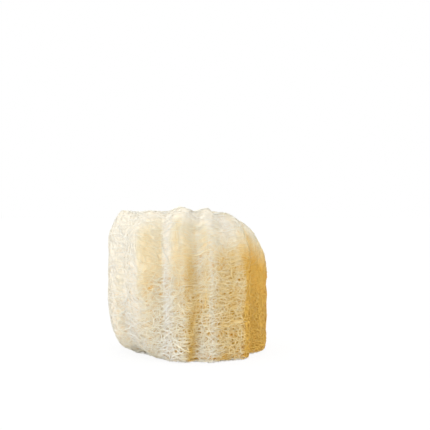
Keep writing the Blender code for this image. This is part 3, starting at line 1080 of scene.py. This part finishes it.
# %% [markdown]
# ## The nets of the wall
#
# The outer wall has several layers of fibre. The outermost run mostly round the gourd, and those under
# it cross them. Each layer lies a little deeper, is painted a little more golden as painted shade and
# swings over and under its own level, so that crossing fibres don't all meet at one height. Fibres strewn
# at random would leave bald patches and tangles, so three times as many are offered as are laid, and the
# ones over the barest places are taken.

# %% Headings and waves
LEVEL_SPREAD, STEEP_SPREAD = math.radians(15.0), math.radians(18.0)
SLANT, SLANT_SPREAD = math.radians(45.0), 0.25
WAVE_LENGTHS = (5.0, 10.0)


def headings(rng, count, round_going, upright):
    """Directions along the chart: most round the wall, some up it, and the rest in between."""
    kind = rng.uniform(0.0, 1.0, count)
    level = rng.normal(0.0, LEVEL_SPREAD, count)
    steep = math.radians(90.0) + rng.normal(0.0, STEEP_SPREAD, count)
    slanted = rng.choice([-1.0, 1.0], count) * SLANT + rng.normal(0.0, SLANT_SPREAD, count)
    heading = np.where(kind < round_going + upright, steep, slanted)
    heading = np.where(kind < round_going, level, heading)
    return heading + math.pi * rng.integers(0, 2, count)


def over_and_under(rng, shape, step, height):
    """A wave along each fibre that lifts it over its neighbours and sinks it under them."""
    fibres, count = shape
    length = rng.uniform(*WAVE_LENGTHS, (fibres, 1)) * MM
    along = np.arange(count) * step
    phase = rng.uniform(0.0, 2.0 * np.pi, (fibres, 1))
    return height * np.sin(2.0 * np.pi * along / length + phase)


def eased(points):
    """Each inner point of a fibre takes a quarter from either neighbour."""
    points = points.copy()
    points[:, 1:-1] = 0.5 * points[:, 1:-1] + 0.25 * (points[:, :-2] + points[:, 2:])
    return points


# %% Lay fibres evenly
OFFERED = 3
BATCHES = 30


def evenly_laid(chart, rng, tracks, count, step, target):
    """Of all the walks offered, a batch at a time, the ones that cross the barest places.

    Crowding is the length of fibre in each cell of the chart, smoothed, over the cell's area and its
    target density. A walk's own crowding is the mean along it.
    """
    rows, columns = chart["area"].shape
    tracks = tracks[rng.permutation(len(tracks))]
    row = np.clip(tracks[..., 0].astype(int), 0, rows - 1)
    column = tracks[..., 1].astype(int) % columns
    laid, chosen = np.zeros((rows, columns)), []
    free = np.ones(len(tracks), bool)
    for size in np.diff(np.linspace(0, count, BATCHES + 1).astype(int)):
        crowding = smoothed(laid, 8) / (chart["area"] * target)
        own = np.where(free, crowding[row, column].mean(axis=1), np.inf)
        best = np.argsort(own, kind="stable")[:size]
        free[best] = False
        chosen.append(best)
        np.add.at(laid, (row[best], column[best]), step)
    return tracks[np.concatenate(chosen)]


# %% Weave the nets of the wall
FIBRE_STEP, FIBRE_POINTS = 1.50 * MM, 11
COARSE_STEP, COARSE_POINTS = 0.95 * MM, 15
COARSE_FROM = 0.25
LAYER_WAVE, LAYER_SPREAD = 0.22 * MM, 0.10 * MM
CLOSE_LIFT = 0.22
HIGHEST_LIFT = 0.40 * MM
GOLD_DEPTH = 2.2 * MM
NET_CLEARANCE = 0.45 * MM
WIDTH_SPREAD = 0.28
WALL_NETS = (
    # name, seed, fibres, depth and thickness in mm, shares that run round and up, swing in degrees
    ("inner_wall_net", 31, 950, 0.85, 0.19, (0.40, 0.25), 22.0),
    ("middle_wall_net", 32, 2300, 0.50, 0.17, (0.60, 0.12), 18.0),
    ("outer_wall_net", 33, 2300, 0.15, 0.15, (0.72, 0.06), 16.0),
    ("lower_coarse_net", 34, 1120, 0.45, 0.17, (0.35, 0.20), 42.0),
    ("upper_coarse_net", 35, 1120, 0.08, 0.155, (0.35, 0.15), 42.0),
)


def wall_net(name, seed, count, depth, thickness, mix, swing, coarse_only):
    """One layer of fibres laid on the wall's chart at a depth, parted by the pores.

    The mix is the share of fibres that go round the wall and the share that go up it. A coarse layer
    starts only where the net is open, and takes short steps, so that its fibres bend round the pores.
    """
    rng = np.random.default_rng(seed)
    step, length, target = FIBRE_STEP, FIBRE_POINTS, np.ones_like(wall_coarseness)
    if coarse_only:
        step, length = COARSE_STEP, COARSE_POINTS
        target = np.clip(wall_coarseness - COARSE_FROM, 0.001, 0.45)
    row, column = scattered(wall_chart, rng, OFFERED * count, target)
    heading = headings(rng, OFFERED * count, *mix)
    offered = walk(wall_chart, rng, row, column, heading, swing, step, length)
    track = evenly_laid(wall_chart, rng, offered, count, step, target)
    points, normals = laid_on(wall_chart, track)
    coarse = coarseness(points)
    spread = over_and_under(rng, track.shape[:2], step, LAYER_WAVE)
    spread = spread + rng.normal(0.0, LAYER_SPREAD, (count, 1))
    lift = (CLOSE_LIFT + (1.0 - CLOSE_LIFT) * coarse) * (spread - depth)
    lift = np.minimum(lift, HIGHEST_LIFT)
    points = eased(parted(points, normals)) + lift[..., None] * normals
    points[..., 2] = np.maximum(points[..., 2], NET_CLEARANCE)
    width = thickness * np.exp(rng.normal(0.0, WIDTH_SPREAD, count)) * (0.75 + 0.35 * coarse[:, 0])
    # Painted shade: each fibre takes the wall's painted gold, and more the deeper it lies.
    bleached = read_grid(wall_chart["straw"], track[..., 1], track[..., 0])
    values = {
        "straw": np.clip(bleached + 0.04 - 0.04 * coarse, 0.0, 1.0),
        "depth": np.clip(-lift / GOLD_DEPTH, 0.0, 1.0),
        "tint": rng.normal(0.0, 1.0, (count, 1)),
    }
    keep(tubes(name, points, normals, width, values), fibre_material)


for name, seed, count, depth, thickness, mix, swing in WALL_NETS:
    wall_net(name, seed, count, depth * MM, thickness * MM, mix, swing, coarse_only="coarse" in name)

# %% [markdown]
# ## The nets of the cuts
#
# A cut shows the inside of the luffa: a coarser net than the wall's, which is golden in the middle and
# pale near the rim, and fibres that lie deeper are painted more golden as painted shade. Its fibres run
# round the middle and out to the wall. The same walks as before cover it, on the charts of the two cuts. A
# walk that would cross a channel isn't used, and one that comes near is pushed back from its edge.

# %% Keep fibres on a cut
CUT_EDGE = 1.2 * MM


def height_at(chart, points):
    """How high a cut is at each point, read from its own grid."""
    column = (points[..., 0] - cad_low.x) / (cad_high.x - cad_low.x) * (CUT_POINTS - 1)
    row = (points[..., 1] - cad_low.y) / (cad_high.y - cad_low.y) * (CUT_POINTS - 1)
    return read_grid(chart["points"][..., 2], column, row, closed=False)


def edge_at(points, edge_radius):
    """How far from the middle the edge of a cut is, at the same angle as each point."""
    return np.interp(column_of(points), np.arange(WALL_COLUMNS), edge_radius, period=WALL_COLUMNS)


def kept_on_cut(chart, points, edge_radius, margin):
    """Points moved a margin out of the channels and in from the cut's edge, at the height found there."""
    outside, way = beside_channels(points)
    outward = np.clip(margin - outside, 0.0, None)
    points = points + outward[..., None] * np.concatenate([way, 0.0 * way[..., :1]], axis=-1)
    radius = np.hypot(points[..., 0], points[..., 1])
    furthest = edge_at(points, edge_radius) - CUT_EDGE
    inside = np.minimum(1.0, furthest / np.maximum(radius, 1e-9))
    points = points * np.stack([inside, inside, np.ones_like(inside)], axis=-1)
    points[..., 2] = height_at(chart, points)
    return points


foot_radius = np.hypot(*np.moveaxis(wall[0, :, :2], -1, 0))
print("cuts, mean mm from the middle:", np.round([rim_radius.mean() / MM, foot_radius.mean() / MM], 1))

# %% Weave the nets of the cuts
OUTWARD_SHARE, HEADING_SPREAD = 0.45, 0.4
INSIDE_SWING = 26.0
TRIAL_MARGIN, CUT_MARGINS = 0.2 * MM, (0.1, 1.6)
CUT_WAVE, CUT_SPREAD = 0.35 * MM, 0.25 * MM
CUT_HIGHEST = 0.35 * MM
CUT_CLEARANCE = 0.30 * MM
PALE_RIM = 9.0 * MM
INSIDE_GOLD_DEPTH = 2.6 * MM
INSIDE_WIDTH_SPREAD = 0.30


def cut_net(name, seed, count, chart, edge_radius, side, depth, thickness):
    """Fibres laid on a cut. The side is 1 for a cut that faces up and -1 for one that faces down."""
    rng = np.random.default_rng(seed)
    flat = chart["points"]
    from_middle = np.hypot(flat[..., 0], flat[..., 1])
    allowed = from_middle < edge_at(flat, edge_radius) - CUT_EDGE
    allowed &= beside_channels(flat)[0] > 0.0
    row, column = scattered(chart, rng, OFFERED * count, allowed)
    start = read_grid(chart["points"], column, row, closed=False)
    outward = np.arctan2(start[..., 1], start[..., 0])
    sideways = np.where(rng.uniform(0.0, 1.0, OFFERED * count) < OUTWARD_SHARE, 0.0, math.pi / 2)
    heading = outward + sideways + rng.normal(0.0, HEADING_SPREAD, OFFERED * count)
    track = walk(chart, rng, row, column, heading, INSIDE_SWING, FIBRE_STEP, FIBRE_POINTS)
    moved = kept_on_cut(chart, laid_on(chart, track)[0], edge_radius, TRIAL_MARGIN)
    between = 0.5 * (moved[:, 1:] + moved[:, :-1])
    whole = (beside_channels(between)[0] > 0.0).all(axis=1)
    track = evenly_laid(chart, rng, track[whole], count, FIBRE_STEP, 1.0)
    points, normals = laid_on(chart, track)
    moved = kept_on_cut(chart, points, edge_radius, rng.uniform(*CUT_MARGINS, (count, 1)) * MM)
    waves = over_and_under(rng, track.shape[:2], FIBRE_STEP, CUT_WAVE)
    lift = waves + rng.normal(0.0, CUT_SPREAD, (count, 1)) - depth
    lift = np.minimum(lift, CUT_HIGHEST)
    points = parted(moved, normals) + side * lift[..., None] * normals
    points[..., 2] = np.maximum(points[..., 2], CUT_CLEARANCE)
    width = thickness * np.exp(rng.normal(0.0, INSIDE_WIDTH_SPREAD, count))
    from_rim = edge_at(points, edge_radius) - np.hypot(points[..., 0], points[..., 1])
    inward = np.clip(from_rim / PALE_RIM, 0.15, 1.0)
    # Painted shade: fibres that lie deeper are painted more golden, less so near the rim.
    values = {
        "straw": inward * (0.25 + 0.25 * noise(SLOW_NOISE, points, INSIDE_PATCHES)),
        "depth": inward * np.clip(-lift / INSIDE_GOLD_DEPTH, 0.0, 1.0),
        "tint": rng.normal(0.0, 1.0, (count, 1)),
    }
    keep(tubes(name, points, side * normals, width, values), fibre_material)


cut_net("upper_cut_net", 41, 1150, upper_chart, rim_radius, 1.0, 0.40 * MM, 0.24 * MM)
cut_net("lower_cut_net", 42, 430, lower_chart, foot_radius, -1.0, 0.65 * MM, 0.24 * MM)

# %% [markdown]
# ## The walls of the seed channels
#
# Inside a channel the fibres are the coarsest of all, and they run round it like hoops. A channel is the
# same all the way up, so it needs no wrapping: its chart is its outline carried up through the sponge,
# with normals that point to its middle line.

# %% Weave the nets of the channels
CHANNEL_ROWS = 60
CHANNEL_FIBRES = 300
CHANNEL_MIX = (0.55, 0.25)
CHANNEL_FIBRE_WIDTH = 0.30 * MM
CHANNEL_WAVE, CHANNEL_HIGHEST = 0.45 * MM, 0.80 * MM
SUNK, SUNK_SPREAD = -0.15 * MM, 0.30 * MM
END_MARGIN = 0.6 * MM
LIP_REACH, LIP_DROP = 1.5 * MM, 0.4 * MM


def channel_chart(channel):
    """The outline of a channel at every height: angle round it along the rows, height up the columns."""
    outline = channel["centre"] + channel["radius"][:, None] * spokes
    heights = np.linspace(END_MARGIN, CUT_LEVEL - END_MARGIN, CHANNEL_ROWS)[:, None, None]
    flat = np.broadcast_to(outline, (CHANNEL_ROWS, CHANNEL_COLUMNS, 2))
    points = np.concatenate([flat, heights * np.ones((CHANNEL_ROWS, CHANNEL_COLUMNS, 1))], axis=-1)
    chart = chart_of(points)
    chart["normals"] = -chart["normals"]
    return chart


def channel_net(name, seed, channel, count):
    """Fibres laid on the wall of one channel, kept between the two cuts."""
    rng = np.random.default_rng(seed)
    chart = channel_chart(channel)
    row, column = scattered(chart, rng, count)
    heading = headings(rng, count, *CHANNEL_MIX)
    track = walk(chart, rng, row, column, heading, INSIDE_SWING, FIBRE_STEP, FIBRE_POINTS)
    points, normals = laid_on(chart, track)
    waves = over_and_under(rng, track.shape[:2], FIBRE_STEP, CHANNEL_WAVE)
    lift = waves + rng.normal(SUNK, SUNK_SPREAD, (count, 1))
    lift = np.minimum(lift, CHANNEL_HIGHEST)
    points = parted(points, normals) + lift[..., None] * normals
    ceiling = height_at(upper_chart, points - LIP_REACH * normals) - LIP_DROP
    points[..., 2] = np.clip(points[..., 2], NET_CLEARANCE, ceiling)
    width = CHANNEL_FIBRE_WIDTH * np.exp(rng.normal(0.0, INSIDE_WIDTH_SPREAD, count))
    # Painted shade: fibres that lie deeper in the channel wall are painted more golden.
    values = {
        "straw": 0.30 + 0.25 * noise(SLOW_NOISE, points, INSIDE_PATCHES),
        "depth": np.clip(0.12 - lift / INSIDE_GOLD_DEPTH, 0.0, 1.0),
        "tint": rng.normal(0.0, 1.0, (count, 1)),
    }
    keep(tubes(name, points, normals, width, values), fibre_material)


for number, channel in enumerate(channels):
    channel_net(f"channel_net_{number + 1}", 51 + number, channel, CHANNEL_FIBRES)

# %% [markdown]
# ## Loose ends
#
# Where the gourd was cut and where fibres broke, short hairs stand off the surface. They soften the
# outline. A particle system could grow them, but the tubes already at hand do it with five points each.
# A hair is one arc: it starts in the wall, leans along it and lifts a little at its tip.

# %% Add the loose ends
HAIR_POINTS = 5
HAIR_ROOT = 0.25 * MM
HAIR_LENGTHS, HAIR_RISES, HAIR_WIDTHS = (1.5, 4.0), (0.2, 1.1), (0.06, 0.11)


def loose_ends(name, seed, count):
    """Start plus length times share times a direction in the wall, lifted by the share squared."""
    rng = np.random.default_rng(seed)
    row, column = scattered(wall_chart, rng, count)
    track = np.stack([row, column], axis=-1)[:, None] * np.ones((1, HAIR_POINTS, 1))
    start, normals = laid_on(wall_chart, track)
    lean = rng.normal(0.0, 1.0, (count, 1, 3))
    lean = lean - (lean * normals).sum(-1, keepdims=True) * normals
    lean /= np.linalg.norm(lean, axis=-1, keepdims=True)
    share = np.linspace(0.0, 1.0, HAIR_POINTS)[None, :, None]
    length = rng.uniform(*HAIR_LENGTHS, (count, 1, 1)) * MM
    rise = rng.uniform(*HAIR_RISES, (count, 1, 1)) * MM
    points = start + length * share * lean + (rise * share**2 - HAIR_ROOT) * normals
    points[..., 2] = np.maximum(points[..., 2], FOOT_CLEARANCE)
    # The hairs take the wall's gold and painted shade where they start.
    values = {
        "straw": read_grid(wall_chart["straw"], column[:, None], row[:, None]),
        "depth": np.zeros((count, 1)),
        "tint": rng.normal(0.0, 1.0, (count, 1)),
    }
    width = rng.uniform(*HAIR_WIDTHS, count) * MM
    keep(tubes(name, points, normals, width, values), fibre_material)


loose_ends("loose_ends", 61, 1150)
print("all pieces:", sum(triangles(piece) for piece in pieces), "triangles")

# %% [markdown]
# ## Floor, light and camera
#
# The sponge is shown on pure white, in soft light from the left. White could be had with more light, but
# that would wash out the fibres. So the floor is a plain pale surface, and what the camera sees of it is
# mixed with a steady glow. The shadow stays, only paler.


# %% Two helpers for what the camera sees
def seen_directly(tree):
    """The largest of three rays' marks: 1 for what the camera sees, mirrored or through glass too."""
    ray = tree.nodes.new("ShaderNodeLightPath")
    seen = ray.outputs["Is Camera Ray"]
    for kind in ("Is Glossy Ray", "Is Transmission Ray"):
        seen = math_node(tree, "MAXIMUM", seen, ray.outputs[kind])
    return seen


def mix_shaders(tree, share, first, second):
    """One shader that is the first where the share is 0 and the second where it is 1."""
    mixed = tree.nodes.new("ShaderNodeMixShader")
    for place, socket in enumerate((share, first.outputs[0], second.outputs[0])):
        tree.links.new(socket, mixed.inputs[place])
    return mixed.outputs[0]


# %% Lay the floor
FLOOR_SIZE = 30.0
FLOOR_GLOW = 0.90
FLOOR_WHITE = (0.93, 0.93, 0.93, 1.0)
FLOOR_ROUGHNESS, FLOOR_SHINE = 0.9, 0.1

floor_mesh = bpy.data.meshes.new("floor")
half = 0.5 * FLOOR_SIZE
floor_corners = [(-half, -half, 0.0), (half, -half, 0.0), (half, half, 0.0), (-half, half, 0.0)]
floor_mesh.from_pydata(floor_corners, [], [(0, 1, 2, 3)])
floor = link("floor", floor_mesh)
floor_material = bpy.data.materials.new("white floor")
floor_material.use_nodes = True
tree = floor_material.node_tree
paper = tree.nodes["Principled BSDF"]
paper.inputs["Base Color"].default_value = FLOOR_WHITE
paper.inputs["Roughness"].default_value = FLOOR_ROUGHNESS
paper.inputs["Specular IOR Level"].default_value = FLOOR_SHINE
glow = tree.nodes.new("ShaderNodeEmission")
share = math_node(tree, "MULTIPLY", seen_directly(tree), FLOOR_GLOW)
mixed = mix_shaders(tree, share, paper, glow)
tree.links.new(mixed, tree.nodes["Material Output"].inputs["Surface"])
floor_mesh.materials.append(floor_material)
print("floor, m across:", FLOOR_SIZE)

# %% [markdown]
# The world lights the sponge evenly from all round, and shows itself to the camera at a plain strength of
# one, whatever light it gives. One large lamp at the front left gives the lobes their light and dark
# sides.

# %% Light the studio
FILL = 1.30
KEY_POWER = 1.8
KEY_SIZE = 0.60
KEY_DISTANCE = 1.1
KEY_TURN, KEY_RISE = math.radians(-52.0), math.radians(20.0)

world = bpy.data.worlds.new("soft white room")
bpy.context.scene.world = world
world.use_nodes = True
tree = world.node_tree
fill = tree.nodes["Background"]
fill.inputs["Color"].default_value = (1.0, 1.0, 1.0, 1.0)
fill.inputs["Strength"].default_value = FILL
white = tree.nodes.new("ShaderNodeBackground")
white.inputs["Color"].default_value = (1.0, 1.0, 1.0, 1.0)
white.inputs["Strength"].default_value = 1.0
mixed = mix_shaders(tree, seen_directly(tree), fill, white)
tree.links.new(mixed, tree.nodes["World Output"].inputs["Surface"])

key = bpy.data.lights.new("key", "AREA")
key.energy = KEY_POWER
key.size = KEY_SIZE
key_lamp = bpy.data.objects.new("key", key)
bpy.context.scene.collection.objects.link(key_lamp)
from_key = np.array(
    [
        math.cos(KEY_RISE) * math.sin(KEY_TURN),
        -math.cos(KEY_RISE) * math.cos(KEY_TURN),
        math.sin(KEY_RISE),
    ]
)
key_lamp.location = MIDDLE + KEY_DISTANCE * from_key
key_lamp.rotation_euler = (math.pi / 2 - KEY_RISE, 0.0, KEY_TURN)
print("lamp, m:", [round(value, 2) for value in key_lamp.location])

# %% [markdown]
# The camera stands in front, nearly level with the top of the sponge, so the upper cut is seen edge-on.
# Its place and lens come from the sponge's real size and from its size and place in the picture.

# %% Set the camera
CAMERA_PLACE = (0.0185, -0.4450, 0.0862)
CAMERA_LENS = 57.35

camera = bpy.data.cameras.new("camera")
camera.lens = CAMERA_LENS
camera.sensor_width = 36.0
camera_object = bpy.data.objects.new("camera", camera)
bpy.context.scene.collection.objects.link(camera_object)
camera_object.location = CAMERA_PLACE
camera_object.rotation_euler = (math.pi / 2, 0.0, 0.0)
bpy.context.scene.camera = camera_object
bpy.context.scene.view_settings.view_transform = "Standard"
print("camera, m:", CAMERA_PLACE, "lens, mm:", CAMERA_LENS)
